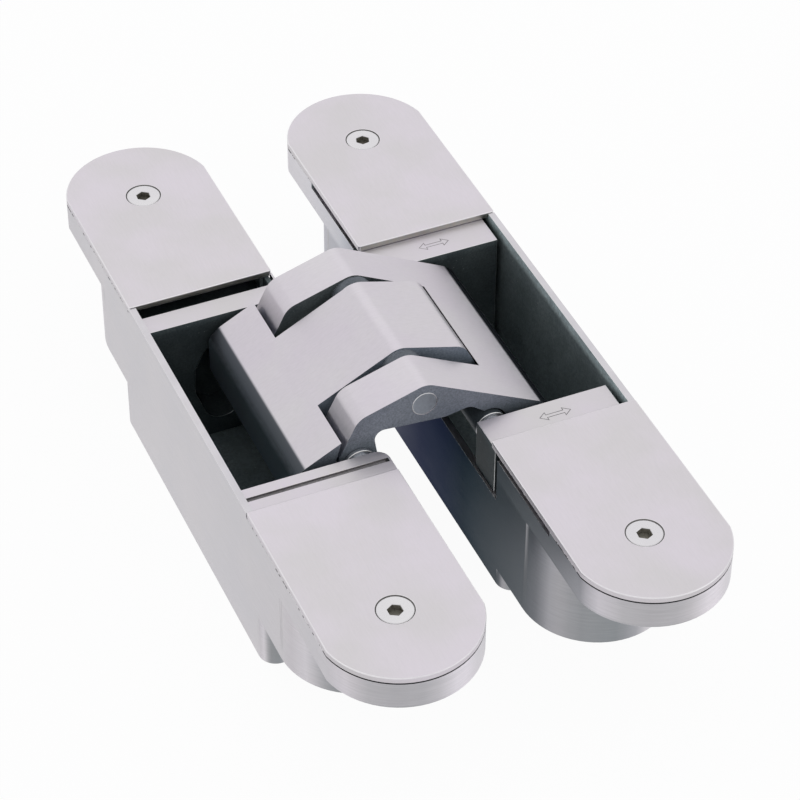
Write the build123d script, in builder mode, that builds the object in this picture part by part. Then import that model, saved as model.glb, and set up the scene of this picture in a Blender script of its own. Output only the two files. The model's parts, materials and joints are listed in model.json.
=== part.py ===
from build123d import *
from math import atan2, cos, degrees, radians, sin, sqrt
import os

# A concealed door hinge of the 190 mm class, opened flat. X runs across the two halves, Y runs
# along them and Z points up, out of the faces. The origin is under the middle of the hinge, at
# the level of the case bottoms, which are both set the same depth into door and frame.

os.makedirs("parts", exist_ok=True)

# ---- overall sizes, mm
face_length = 190.0
face_width = 35.0
end_radius = face_width / 2 + 0.4
half_offset = 28.5
case_depth = 39.0
flange_thick = 8.4
wall = 1.6

# ---- linkage: pivot, crossing point and heel pin, measured from a half's centre line and face,
# with x counted towards the other half
pivot_in = 12.8
pivot_down = 5.2
cross_up = 5.8
heel_in = 3.6
heel_down = 13.8
closed_gap = 7.0
pin_radius = 3.0
running_gap = 0.05
hub_radius = 5.0
eye_radius = 4.6
heel_radius = 6.0
fork_edge = 2.4
tongue_edge = 3.8
arm_half = 26.0
tongue_half = 12.5
side_play = 0.1
washer_thick = 2.5
prong_inner = tongue_half + side_play + washer_thick
sleeve_radius = 3.7
bush_radius = 4.4
channel_half = bush_radius + 0.35

# ---- end blocks: the left ones travel along their case, the right ones across theirs
travel_across = 1.2
travel_along = 1.5
slide_gap = 0.2
block_front = arm_half + 2.4
sleeve_end = block_front - 1.2
channel_floor = block_front + 8.4
pin_end = block_front + 9.1
stub_end = block_front + 5.0
lug_end = block_front + 9.6
lug_round = 3.0
tab_show = 8.4
groove_front = block_front + 2.8
groove_wide = 1.2
groove_deep = 1.2
bar_wide = 5.5
bar_step = 6.0
left_lug_inset = 0.5
right_lug_inset = 1.5
left_lug = face_width / 2 - left_lug_inset
right_lug = face_width / 2 - right_lug_inset

# ---- cover plates and their screws
cover_thick = 1.5
cover_start = block_front + tab_show
cover_screw_in = 19.5
cover_screw_y = face_length / 2 - cover_screw_in
head_radius = 4.15
screw_radius = 2.0
screw_length = 6.6
socket_flats = 3.0
mount_x = 8.5
mount_in = 11.0
mount_y = face_length / 2 - mount_in
mount_radius = 2.7
mount_head_radius = 5.2

# ---- the stepped router pocket that the case fills, its depths taken from the face
shelf_in = 22.5
shelf_down_left = 26.5
shelf_down_right = 34.4
shelf_length = face_length - 2 * shelf_in
shelf_level_left = case_depth - shelf_down_left
shelf_level_right = case_depth - shelf_down_right
well_length = 91.0
well_corner = 4.0
pocket_in = 29.0
pocket_length = face_length - 2 * pocket_in
pocket_corner = 12.0
rim_drop = 0.3
notch_room = 0.7
notch_down = 14.5
lip_down = 3.0
notch_half = lug_end + travel_along + notch_room
notch_level = case_depth - notch_down
lip_level = case_depth - lip_down
lip_half = pocket_length / 2

deep_chamfer = 2.0
tail_chamfer = 6.0
tail_room = 9.0
block_deep_end = well_length / 2 - wall - travel_along - 2 * slide_gap
block_end = pocket_length / 2 - tail_room
tab_top = case_depth - cover_thick - side_play
left_block_half = face_width / 2 - wall - slide_gap - side_play
right_block_half = face_width / 2 - wall - slide_gap - travel_across

# ---- the fold. The arm on the fixed pivot turns the full swing while the crossed arm turns
# slower by one fixed ratio, and the heel pin then follows the curve used for the channels.
reach = sqrt((half_offset - pivot_in) ** 2 + (cross_up + pivot_down) ** 2)
heel_reach = sqrt((half_offset - heel_in) ** 2 + (cross_up + heel_down) ** 2)
pivot_start = atan2(-pivot_down - cross_up, pivot_in - half_offset)
heel_start = atan2(-heel_down - cross_up, heel_in - half_offset)
cross_closed_x = pivot_in - sqrt(reach ** 2 - (pivot_down + closed_gap / 2) ** 2)
pivot_closed = atan2(-pivot_down - closed_gap / 2, pivot_in - cross_closed_x)
swing = pivot_closed - pivot_start
follow = (radians(180.0) - swing) / swing


def heel_point(turn):
    """Heel pin centre, seen from its half, after the arm on the pivot has turned by turn."""
    cx = pivot_in - reach * cos(pivot_start + turn)
    cz = -pivot_down - reach * sin(pivot_start + turn)
    return (cx + heel_reach * cos(heel_start + follow * turn),
            cz + heel_reach * sin(heel_start + follow * turn))


channel_steps = 5
heel_path = [heel_point(swing * i / channel_steps) for i in range(channel_steps + 1)]

cross_z = case_depth + cross_up
pivot_z = case_depth - pivot_down
heel_z = case_depth - heel_down
pivot_x = half_offset - pivot_in
heel_x = half_offset - heel_in
seat_z = case_depth - cover_thick
flange_z = case_depth - flange_thick


# ---- cases
def case_half(side, shelf_level):
    """A cast case. side is -1 for the left half and +1 for the right one."""
    xc = side * half_offset
    inner = xc - side * face_width / 2
    with BuildPart() as case:
        with BuildSketch(Plane.XY.offset(flange_z)):
            with Locations((xc, 0)):
                SlotOverall(face_length, 2 * end_radius, rotation=90)
                Rectangle(face_width, face_length, mode=Mode.INTERSECT)
        extrude(amount=seat_z - flange_z)
        with BuildSketch(Plane.XY.offset(shelf_level)):
            with Locations((xc, 0)):
                SlotOverall(shelf_length, face_width, rotation=90)
        extrude(amount=flange_z - shelf_level)
        with BuildSketch(Plane.XY):
            with Locations((xc, 0)):
                RectangleRounded(face_width, well_length, well_corner)
        extrude(amount=shelf_level)
        # the outer wall stands up between the two cover plates
        with BuildSketch(Plane.XY.offset(seat_z)):
            with Locations((xc, 0)):
                Rectangle(face_width, 2 * cover_start - 0.2)
        extrude(amount=cover_thick - rim_drop)
        # hollow inside
        with BuildSketch(Plane.XY.offset(shelf_level + wall)):
            with Locations((xc, 0)):
                RectangleRounded(face_width - 2 * wall, pocket_length, pocket_corner)
        extrude(amount=case_depth, mode=Mode.SUBTRACT)
        with BuildSketch(Plane.XY.offset(wall)):
            with Locations((xc, 0)):
                Rectangle(face_width - 2 * wall, well_length - 2 * wall)
        extrude(amount=case_depth, mode=Mode.SUBTRACT)
        # the inner wall is notched where the arms pass over it
        with BuildSketch(Plane.XY.offset(notch_level)):
            with Locations((inner, 0)):
                Rectangle(6 * wall, 2 * notch_half)
        extrude(amount=case_depth, mode=Mode.SUBTRACT)
        # beyond the notch it stops short of the cover plates
        with BuildSketch(Plane.XY.offset(lip_level)):
            with Locations((inner, 0)):
                Rectangle(2 * wall, 2 * lip_half)
        extrude(amount=case_depth, mode=Mode.SUBTRACT)
        # holes for the cover screws, countersunk holes for the mounting screws
        with Locations(Plane.XY.offset(seat_z)):
            with Locations((xc, cover_screw_y), (xc, -cover_screw_y)):
                Hole(head_radius - cover_thick + side_play, depth=flange_thick - 2 * cover_thick)
            with Locations((xc - mount_x, mount_y), (xc + mount_x, mount_y),
                           (xc - mount_x, -mount_y), (xc + mount_x, -mount_y)):
                CounterSinkHole(mount_radius, mount_head_radius)
    return case.part


case_left = case_half(-1, shelf_level_left)
case_left.label = "case_left"
export_step(case_left, "parts/case_left.step")

case_right = case_half(1, shelf_level_right)
case_right.label = "case_right"
export_step(case_right, "parts/case_right.step")


# ---- cover plates
def cover_plate(side, end):
    """A flat plate over one end of a half. end is -1 near and +1 far."""
    xc = side * half_offset
    middle = end * (cover_start + face_length / 2) / 2
    with BuildPart() as cover:
        with BuildSketch(Plane.XY.offset(seat_z)):
            with Locations((xc, 0)):
                SlotOverall(face_length, 2 * end_radius, rotation=90)
            with Locations((xc, middle)):
                Rectangle(face_width, face_length / 2 - cover_start, mode=Mode.INTERSECT)
        extrude(amount=cover_thick)
        with Locations(Plane.XY.offset(case_depth)):
            with Locations((xc, end * cover_screw_y)):
                CounterSinkHole(screw_radius + running_gap, head_radius + side_play)
    return cover.part


for side, side_name in ((-1, "left"), (1, "right")):
    for end, end_name in ((-1, "near"), (1, "far")):
        plate = cover_plate(side, end)
        plate.label = f"cover_{side_name}_{end_name}"
        export_step(plate, f"parts/{plate.label}.step")

# ---- cover screws, countersunk with a hexagon socket, two on each half
for side, side_name in ((-1, "left"), (1, "right")):
    with BuildPart() as cover_screws:
        with Locations((side * half_offset, cover_screw_y), (side * half_offset, -cover_screw_y)):
            with Locations((0, 0, case_depth - side_play)):
                Cone(screw_radius, head_radius, head_radius - screw_radius,
                     align=(Align.CENTER, Align.CENTER, Align.MAX))
                Cylinder(screw_radius, screw_length, align=(Align.CENTER, Align.CENTER, Align.MAX))
        with BuildSketch(Plane.XY.offset(case_depth - side_play)):
            with Locations((side * half_offset, cover_screw_y), (side * half_offset, -cover_screw_y)):
                RegularPolygon(socket_flats / 2, 6, major_radius=False)
        extrude(amount=-1.6, mode=Mode.SUBTRACT)
    cover_screws.part.label = f"cover_screws_{side_name}"
    export_step(cover_screws.part, f"parts/cover_screws_{side_name}.step")


# ---- end blocks
def end_block(side, end, half_wide, shelf_level, lug_wide, hole_end):
    """A block at one end of a half, with the channel for the heel bush and the pivot hole."""
    xc = side * half_offset
    front = Plane(origin=(0, end * block_front, 0), x_dir=(1, 0, 0), z_dir=(0, end, 0))
    # the plane's own y axis points along z on the near side and against it on the far side
    up = -end
    with BuildPart() as block:
        # deep front portion and shallower tail
        with BuildSketch(Plane.XY.offset(wall + slide_gap)):
            with Locations((xc, end * (block_front + block_deep_end) / 2)):
                Rectangle(2 * half_wide, block_deep_end - block_front)
        extrude(amount=tab_top - wall - slide_gap)
        chamfer(block.edges().filter_by(Axis.Z).group_by(Axis.Y)[0 if end < 0 else -1], deep_chamfer)
        with BuildSketch(Plane.XY.offset(shelf_level + wall + slide_gap)):
            with Locations((xc, end * (block_front + block_end) / 2)):
                Rectangle(2 * half_wide, block_end - block_front)
        extrude(amount=tab_top - shelf_level - wall - slide_gap)
        chamfer(block.edges().filter_by(Axis.Z).group_by(Axis.Y)[0 if end < 0 else -1], tail_chamfer)
        # lug over the notched wall, carrying the pivot, its front corner rounded on the left half
        with BuildSketch(Plane.XY.offset(notch_level + 0.3)):
            with Locations((xc - side * (half_wide + lug_wide) / 2, end * (block_front + lug_end) / 2)):
                Rectangle(lug_wide - half_wide + 2.0, lug_end - block_front)
        extrude(amount=tab_top - notch_level - 0.3)
        if side < 0:
            corner = block.edges().filter_by(Axis.Z).group_by(Axis.X)[-1]
            fillet(corner.group_by(Axis.Y)[0 if end > 0 else -1], lug_round)
        if side < 0 and end < 0:
            # a groove runs across the tab at this end
            with BuildSketch(Plane.XY.offset(tab_top - groove_deep)):
                with Locations((xc, end * (groove_front + groove_wide / 2))):
                    Rectangle(2 * lug_wide + 1.0, groove_wide)
            extrude(amount=groove_deep, mode=Mode.SUBTRACT)
        if side < 0 and end > 0:
            # behind a front bar the tab at this end steps down
            with BuildSketch(Plane.XY.offset(tab_top - bar_step)):
                with Locations((xc, end * (block_front + bar_wide + block_end / 2))):
                    Rectangle(2 * lug_wide + 1.0, block_end)
            extrude(amount=bar_step, mode=Mode.SUBTRACT)
        with BuildSketch(front):
            with Locations((side * pivot_x, up * pivot_z)):
                Circle(pin_radius)
        extrude(amount=hole_end - block_front, mode=Mode.SUBTRACT)
        # curved channel
        with BuildSketch(front):
            for (x0, z0), (x1, z1) in zip(heel_path, heel_path[1:]):
                ax = xc - side * x0
                bx = xc - side * x1
                az = up * (case_depth + z0)
                bz = up * (case_depth + z1)
                SlotCenterPoint(((ax + bx) / 2, (az + bz) / 2), (bx, bz), 2 * channel_half)
        extrude(amount=channel_floor - block_front, mode=Mode.SUBTRACT)
    return block.part


for end, end_name in ((-1, "near"), (1, "far")):
    block_left = end_block(-1, end, left_block_half, shelf_level_left, left_lug, stub_end)
    block_left.label = f"block_left_{end_name}"
    export_step(block_left, f"parts/{block_left.label}.step")
    block_right = end_block(1, end, right_block_half, shelf_level_right, right_lug, pin_end)
    block_right.label = f"block_right_{end_name}"
    export_step(block_right, f"parts/{block_right.label}.step")


# ---- arms. Both have the same side view, mirrored: a hub at the crossing, a leg that bends down
# to the pivot eye, and a wide end that falls to the heel pin.
def arm_side(side):
    """Side view of an arm whose leg reaches to the given side."""
    eye = (side * pivot_x, pivot_z)
    heel = (-side * heel_x, heel_z)
    with BuildSketch(Plane.XZ) as outline:
        with BuildLine():
            FilletPolyline(
                (side * -0.4, cross_z + 5.5),
                (eye[0] - side * 0.1, cross_z + 0.6),
                (eye[0] + side * eye_radius, eye[1] + 2.0),
                (eye[0] + side * eye_radius, eye[1]),
                (eye[0] - side * eye_radius, eye[1]),
                (eye[0] - side * 3.5, case_depth + 1.9),
                (side * -5.0, case_depth + 0.3),
                (heel[0] + side * (heel_radius + 7.9), case_depth + 1.4),
                (heel[0] + side * heel_radius, heel[1] + 9.0),
                (heel[0] + side * heel_radius, heel[1]),
                (heel[0] - side * heel_radius, heel[1]),
                (heel[0] - side * heel_radius, heel[1] + 8.2),
                (heel[0] - side * 3.3, case_depth - 3.2),
                radius=(4.6, 4.5, 1.5, 0, 0, 2.2, 4.0, 3.0, 4.0, 0, 0, 3.0, 3.2),
                close=True,
            )
        make_face()
        with Locations((0, cross_z)):
            Circle(hub_radius)
        with Locations(eye):
            Circle(eye_radius)
        with Locations(heel):
            Circle(heel_radius)
    return outline.sketch


def arm_slot(side, edge_in, plane):
    """The region between the wide end and the crossing arm's leg, seen from the side.
    edge_in is how far past the pivot the wide end's upper edge starts."""
    eye = (side * pivot_x, pivot_z)
    eye_room = eye_radius + 0.6
    far_x = half_offset + face_width / 2
    edge = pivot_x + edge_in
    with BuildSketch(plane) as gap:
        with BuildLine():
            Polyline(
                (-side * far_x, 2 * case_depth),
                (side * edge, 2 * case_depth),
                (side * edge, case_depth + 1.8),
                (side * (pivot_x + eye_room), case_depth - 3.4),
                (side * (pivot_x + eye_room), pivot_z),
                (side * (heel_x - heel_radius - 1.4), pivot_z - eye_room + 0.2),
                (side * (heel_x - heel_radius - 1.4), -wall),
                (-side * far_x, -wall),
                close=True,
            )
        make_face()
        with Locations(eye):
            Circle(eye_room)
    return gap.sketch


# fork arm: two prongs reach to the left half, the wide end lies in the right half
with BuildPart() as fork_arm:
    extrude(arm_side(-1), amount=arm_half, both=True)
    # slot for the tongue, open downwards and to the left
    extrude(arm_slot(1, fork_edge, Plane.XZ), amount=prong_inner, both=True, mode=Mode.SUBTRACT)
    # relief over the sleeves on the right pivot pin
    with BuildSketch(Plane.XZ):
        with Locations((pivot_x, pivot_z)):
            Circle(sleeve_radius + 4 * side_play)
    extrude(amount=arm_half, both=True, mode=Mode.SUBTRACT)
    # bores for the crossing pin, the heel pin and, running, the two left pivot pins
    with BuildSketch(Plane.XZ):
        with Locations((0, cross_z), (heel_x, heel_z)):
            Circle(pin_radius)
        with Locations((-pivot_x, pivot_z)):
            Circle(pin_radius + running_gap)
    extrude(amount=arm_half, both=True, mode=Mode.SUBTRACT)
fork_arm.part.label = "fork_arm"
export_step(fork_arm.part, "parts/fork_arm.step")

# tongue arm: one broad tongue reaches to the right half, the wide end lies in the left half
with BuildPart() as tongue_arm:
    extrude(arm_side(1), amount=arm_half, both=True)
    # clearance for the prongs on both sides of the tongue
    for near_face in (tongue_half, -arm_half):
        prong_room = arm_slot(-1, tongue_edge, Plane.XZ.offset(near_face))
        extrude(prong_room, amount=arm_half - tongue_half, mode=Mode.SUBTRACT)
    # bores for the heel pin and, running, the crossing pin and the right pivot pin
    with BuildSketch(Plane.XZ):
        with Locations((-heel_x, heel_z)):
            Circle(pin_radius)
        with Locations((0, cross_z), (pivot_x, pivot_z)):
            Circle(pin_radius + running_gap)
    extrude(amount=arm_half, both=True, mode=Mode.SUBTRACT)
tongue_arm.part.label = "tongue_arm"
export_step(tongue_arm.part, "parts/tongue_arm.step")


# ---- pins, sleeves and bushes, all turned about lines along Y
def turned(x, z, outer, bore, spans):
    """Round pieces on the line x, z: one for each (start, end) span along Y."""
    with BuildPart() as pieces:
        for start, stop in spans:
            with BuildSketch(Plane.XZ.offset(-start)):
                with Locations((x, z)):
                    Circle(outer)
                    if bore:
                        Circle(bore, mode=Mode.SUBTRACT)
            extrude(amount=-(stop - start))
    return pieces.part


def save(piece, name):
    piece.label = name
    export_step(piece, f"parts/{name}.step")


cross_pin = turned(0, cross_z, pin_radius, 0, [(-arm_half, arm_half)])
save(cross_pin, "cross_pin")

thrust_washers = turned(0, cross_z, hub_radius - side_play, pin_radius,
                        [(-prong_inner, -tongue_half - side_play), (tongue_half + side_play, prong_inner)])
save(thrust_washers, "thrust_washers")

# two stub pins, each with a collar between the arm and the block
with BuildPart() as pivot_pins_left:
    for end in (-1, 1):
        inner_face = Plane(origin=(0, end * (prong_inner + side_play), 0), x_dir=(1, 0, 0), z_dir=(0, end, 0))
        with BuildSketch(inner_face):
            with Locations((-pivot_x, -end * pivot_z)):
                Circle(pin_radius)
        extrude(amount=stub_end - prong_inner - side_play)
        with BuildSketch(inner_face.offset(arm_half + 2 * side_play - prong_inner - side_play)):
            with Locations((-pivot_x, -end * pivot_z)):
                Circle(sleeve_radius)
        extrude(amount=sleeve_end - arm_half - 2 * side_play)
save(pivot_pins_left.part, "pivot_pins_left")

pivot_pin_right = turned(pivot_x, pivot_z, pin_radius, 0, [(-pin_end, pin_end)])
save(pivot_pin_right, "pivot_pin_right")

pivot_sleeves_right = turned(pivot_x, pivot_z, sleeve_radius, pin_radius,
                             [(-sleeve_end, -tongue_half - side_play), (tongue_half + side_play, sleeve_end)])
save(pivot_sleeves_right, "pivot_sleeves_right")

for side, side_name in ((-1, "left"), (1, "right")):
    heel_pin = turned(side * heel_x, heel_z, pin_radius, 0,
                      [(-channel_floor + 4 * side_play, channel_floor - 4 * side_play)])
    save(heel_pin, f"heel_pin_{side_name}")
    heel_bushes = turned(side * heel_x, heel_z, bush_radius, pin_radius,
                         [(-channel_floor + 4 * side_play, -arm_half), (arm_half, channel_floor - 4 * side_play)])
    save(heel_bushes, f"heel_bushes_{side_name}")
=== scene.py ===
# %% [markdown]
# # A concealed door hinge in satin metal
#
# The hinge lies opened flat. Two cast halves hold two crossed arms, and four plates cover
# the ends of the halves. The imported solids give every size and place, and this lesson adds
# what makes them look real: rounded edges, brushed and cast metal, screws and light.

# %% Load the fixed frame
import json
from math import cos, pi, radians, sin

import bmesh
import bpy
from mathutils import Matrix, Vector


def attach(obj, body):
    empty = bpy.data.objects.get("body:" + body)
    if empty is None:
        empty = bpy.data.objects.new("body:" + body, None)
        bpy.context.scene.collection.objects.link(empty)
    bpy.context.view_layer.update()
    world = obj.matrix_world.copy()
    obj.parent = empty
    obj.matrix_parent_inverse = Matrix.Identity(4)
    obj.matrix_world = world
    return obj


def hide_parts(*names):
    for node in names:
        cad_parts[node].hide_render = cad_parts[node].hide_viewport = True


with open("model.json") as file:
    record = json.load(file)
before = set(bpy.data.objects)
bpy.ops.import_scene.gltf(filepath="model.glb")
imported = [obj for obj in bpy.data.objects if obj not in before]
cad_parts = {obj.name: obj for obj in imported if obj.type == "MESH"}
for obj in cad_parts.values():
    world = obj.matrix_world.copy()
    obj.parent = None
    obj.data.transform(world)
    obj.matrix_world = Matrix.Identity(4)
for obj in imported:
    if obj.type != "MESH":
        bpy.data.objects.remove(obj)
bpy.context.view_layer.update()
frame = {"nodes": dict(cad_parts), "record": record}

MM = 0.001

# %% [markdown]
# ## The camera
#
# The photograph looks down on the near left corner from about two thirds of a metre. A long
# lens keeps the two halves almost parallel. The camera aims at the middle of the faces, and
# a small shift puts the hinge where the photograph's frame has it.

# %% Camera
face_z = 39.0 * MM
view_azimuth = radians(23.257)
view_elevation = radians(40.427)
view_distance = 667.916 * MM
target = Vector((0, 0, face_z))

camera_data = bpy.data.cameras.new("camera")
camera_data.sensor_width = 36
camera_data.lens = 133.95
camera_data.shift_x = 0.0282
camera_data.shift_y = -0.0590
camera_data.clip_start = 0.05
camera_data.clip_end = 20
camera = bpy.data.objects.new("camera", camera_data)
bpy.context.scene.collection.objects.link(camera)
direction = Vector((
    -cos(view_elevation) * sin(view_azimuth),
    -cos(view_elevation) * cos(view_azimuth),
    sin(view_elevation),
))
camera.location = target + view_distance * direction
camera.rotation_euler = (-direction).to_track_quat("-Z", "Y").to_euler()
bpy.context.scene.camera = camera
bpy.context.scene.view_settings.view_transform = "Standard"
print("camera at", [round(v, 4) for v in camera.location])

# %% [markdown]
# ## Node helpers
#
# Every material below is a small tree of nodes. A few helpers keep the recipes short. The
# first one adds a node and takes a plain value or another node's socket for each input, so
# that a recipe reads like a sum and needs no separate list of links.


# %% Node helpers
def add_node(tree, kind, inputs=None, **settings):
    """A new node with its settings. Each input, by name or number, gets a value or a link."""
    node = tree.nodes.new(kind)
    for key, value in settings.items():
        setattr(node, key, value)
    for key, value in (inputs or {}).items():
        if isinstance(value, bpy.types.NodeSocket):
            tree.links.new(value, node.inputs[key])
        else:
            node.inputs[key].default_value = value
    return node


def calculate(tree, operation, *values):
    """The result of a math node on sockets or plain numbers."""
    node = add_node(tree, "ShaderNodeMath", dict(enumerate(values)), operation=operation)
    return node.outputs[0]


def remap(tree, value, old=(0.0, 1.0), new=(0.0, 1.0), **settings):
    """Carries a socket from an old range to a new one and stops at both ends."""
    node = add_node(tree, "ShaderNodeMapRange", {
        "Value": value, "From Min": old[0], "From Max": old[1],
        "To Min": new[0], "To Max": new[1]}, **settings)
    return node.outputs[0]


def noise(tree, place, fineness, detail, roughness=0.5):
    """Smooth noise over a place."""
    node = add_node(tree, "ShaderNodeTexNoise", {
        "Vector": place, "Scale": fineness, "Detail": detail, "Roughness": roughness})
    return node.outputs["Fac"]


def object_place(tree):
    """Where a point lies in the piece's own frame."""
    return add_node(tree, "ShaderNodeTexCoord").outputs["Object"]


def axes_of(tree, vector):
    """The X, Y and Z of a vector."""
    return add_node(tree, "ShaderNodeSeparateXYZ", {0: vector}).outputs


print("helpers for nodes are ready")

# %% [markdown]
# ## Node groups
#
# What several metals share, such as brushed lines, is a node group: a small tree with named
# inputs and outputs. It is built once and placed in each material with its own values.

# %% Group helpers
FLOAT = "NodeSocketFloat"
COLOR = "NodeSocketColor"
VECTOR = "NodeSocketVector"


def new_group(name, inputs, outputs):
    """A shader node group, the sockets it is given and the sockets of its result."""
    group = bpy.data.node_groups.new(name, "ShaderNodeTree")
    for label, (kind, value) in inputs.items():
        socket = group.interface.new_socket(label, in_out="INPUT", socket_type=kind)
        socket.default_value = value
    for label, kind in outputs.items():
        group.interface.new_socket(label, in_out="OUTPUT", socket_type=kind)
    given = group.nodes.new("NodeGroupInput").outputs
    return group, given, group.nodes.new("NodeGroupOutput").inputs


def describe(group):
    """Prints a group's name, its number of nodes and its inputs."""
    names = [item.name for item in group.interface.items_tree if item.in_out == "INPUT"]
    print(group.name, "has", len(group.nodes), "nodes and takes", names)


def place_group(tree, group, inputs=None):
    """A shared group placed in a tree with its own values."""
    return add_node(tree, "ShaderNodeGroup", inputs, node_tree=group)


print("kinds of socket:", FLOAT, COLOR, VECTOR)

# %% [markdown]
# ## Brushed lines
#
# A belt or a brush leaves fine scratches that all run one way. Noise that is stretched along
# one axis looks like them. The stretch is an input, so that one group serves the flat tops,
# whose lines run along the hinge, and the rounded ends, whose lines run round the rim.


# %% Brushed lines group
def make_brushed_lines():
    """Fine scratches that run along the axis with the smallest stretch."""
    group, given, result = new_group(
        "brushed_lines", {"Stretch": (VECTOR, (300.0, 300.0, 3000.0))}, {"Lines": FLOAT})
    stretched = add_node(group, "ShaderNodeVectorMath",
                         {0: object_place(group), 1: given["Stretch"]}, operation="MULTIPLY")
    scratches = noise(group, stretched.outputs[0], fineness=1.0, detail=4.0, roughness=0.6)
    group.links.new(remap(group, scratches, old=(0.28, 0.72)), result["Lines"])
    return group


brushed_lines = make_brushed_lines()
describe(brushed_lines)

# %% [markdown]
# ## Cast grain
#
# The insides keep the skin of the casting: small bumps with a few bright specks. Noise gives
# the bumps. The specks are the middles of small cells, and they show only in some patches,
# because an even sprinkle would look made up. Fineness says how many bumps go into a length.


# %% Cast grain group
def make_cast_grain():
    """Height of a cast skin, and a mask for the few bright specks on it."""
    cells_per_bump = 0.45
    group, given, result = new_group(
        "cast_grain", {"Fineness": (FLOAT, 1400.0)}, {"Height": FLOAT, "Specks": FLOAT})
    place = object_place(group)
    bumps = noise(group, place, given["Fineness"], detail=6.0, roughness=0.65)
    coarser = calculate(group, "MULTIPLY", given["Fineness"], cells_per_bump)
    cells = add_node(group, "ShaderNodeTexVoronoi", {"Vector": place, "Scale": coarser})
    specks = remap(group, cells.outputs["Distance"], old=(0.14, 0.06))
    patches = remap(group, noise(group, place, fineness=160.0, detail=2.0), old=(0.52, 0.66))
    group.links.new(bumps, result["Height"])
    group.links.new(calculate(group, "MULTIPLY", specks, patches), result["Specks"])
    return group


cast_grain = make_cast_grain()
describe(cast_grain)

# %% [markdown]
# ## Soft mottling
#
# Finished metal is never one even colour. A slow, faint change between a cool and a warm tint
# lies over every surface, and slow noise is enough for it.


# %% Mottling group
def blend_colours(tree, factor, first, second, blend_type="MIX"):
    """A blend of two colours. Each colour may be a socket or a plain value."""
    first, second = ((*colour, 1) if isinstance(colour, tuple) else colour
                     for colour in (first, second))
    return add_node(tree, "ShaderNodeMix", {"Factor": factor, "A": first, "B": second},
                    data_type="RGBA", blend_type=blend_type).outputs["Result"]


def make_mottling():
    """A colour that drifts slowly between two tints."""
    group, given, result = new_group(
        "mottling",
        {"Cool": (COLOR, (0.66, 0.62, 0.66, 1)), "Warm": (COLOR, (0.66, 0.63, 0.62, 1)),
         "Fineness": (FLOAT, 60.0)},
        {"Color": COLOR},
    )
    drift = remap(group, noise(group, object_place(group), given["Fineness"], detail=3.0),
                  old=(0.35, 0.65))
    group.links.new(blend_colours(group, drift, given["Cool"], given["Warm"]), result["Color"])
    return group


mottling = make_mottling()
describe(mottling)

# %% [markdown]
# ## Which way a wall looks
#
# Three small groups tell the metals where they are, and so where the painted light and shade
# go. They read only the piece's own place and normal, so what they draw stays put when the
# hinge folds. The first one measures how far a wall has turned round the ends, and whether it
# looks at the other half. An angle suits this better than the bare normal, because it changes
# evenly round a curve.


# %% Wall turn group
def make_wall_turn():
    """Which way a wall looks: Turn runs from left (0) over the ends to right (1), Facing from
    away from the other half (0) to squarely at it (1), and Upright is 0 on level faces."""
    group, _, result = new_group(
        "wall_turn", {}, {"Turn": FLOAT, "Facing": FLOAT, "Upright": FLOAT})
    normal = axes_of(group, add_node(group, "ShaderNodeTexCoord").outputs["Normal"])
    side = calculate(group, "SIGN", axes_of(group, object_place(group))["X"])
    cosines = {"Turn": calculate(group, "MULTIPLY", normal["X"], -1.0),
               "Facing": calculate(group, "MULTIPLY", side, normal["X"])}
    for label, cosine in cosines.items():
        angle = calculate(group, "ARCCOSINE", cosine)
        group.links.new(calculate(group, "MULTIPLY", angle, 1 / pi), result[label])
    level = calculate(group, "ABSOLUTE", normal["Z"])
    group.links.new(calculate(group, "SUBTRACT", 1.0, level), result["Upright"])
    return group


wall_turn = make_wall_turn()
describe(wall_turn)

# %% [markdown]
# ## How high a place is
#
# The second group rises evenly from 0 to 1 between two heights, which are its inputs. The
# wells, the lugs and the ends of the arms all use it for the painted light that fades below
# the faces.


# %% Height group
def make_height_level():
    """Rises evenly from 0 to 1 between two heights."""
    group, given, result = new_group(
        "height_level", {"Low": (FLOAT, 0.0), "High": (FLOAT, 39.0 * MM)}, {"Level": FLOAT})
    height = axes_of(group, object_place(group))["Z"]
    level = remap(group, height, old=(given["Low"], given["High"]))
    group.links.new(level, result["Level"])
    return group


height_level = make_height_level()
describe(height_level)

# %% [markdown]
# ## The joint under the cover plates
#
# A plate sits in its half with a hair of room. The third group draws that joint as a thin
# level line: whole round the ends, where it shows well, and broken along the straight sides.


# %% Joint line group
def make_joint_line():
    """1 on a thin level line all round the ends, broken up along the straight sides."""
    group, given, result = new_group(
        "joint_line",
        {"Height": (FLOAT, 37.5 * MM), "Half Width": (FLOAT, 0.2 * MM),
         "Begin": (FLOAT, 37.0 * MM), "Round Begin": (FLOAT, 79.0 * MM),
         "Dash Level": (FLOAT, 0.56)},
        {"Line": FLOAT},
    )
    place = object_place(group)
    axes = axes_of(group, place)
    apart = calculate(group, "SUBTRACT", axes["Z"], given["Height"])
    apart = calculate(group, "ABSOLUTE", apart)
    near = calculate(group, "LESS_THAN", apart, given["Half Width"])
    along = calculate(group, "ABSOLUTE", axes["Y"])
    past = calculate(group, "GREATER_THAN", along, given["Begin"])
    rounded = calculate(group, "GREATER_THAN", along, given["Round Begin"])
    grain = noise(group, place, fineness=700.0, detail=2.0)
    dashes = calculate(group, "GREATER_THAN", grain, given["Dash Level"])
    line = calculate(group, "MULTIPLY", near, past)
    line = calculate(group, "MULTIPLY", line, calculate(group, "MAXIMUM", rounded, dashes))
    group.links.new(line, result["Line"])
    return group


joint_line = make_joint_line()
describe(joint_line)

# %% [markdown]
# ## Helpers for painted light and shade
#
# Painted light and shade are colours that multiply a metal's own, so that (1, 1, 1) leaves it
# alone. The helpers build them: a product, a ramp with stops, a soft step between two values,
# and the height, because nearly every one of them needs it.

# %% Helpers for painted light and shade
WHITE = (1.0, 1.0, 1.0)


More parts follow.
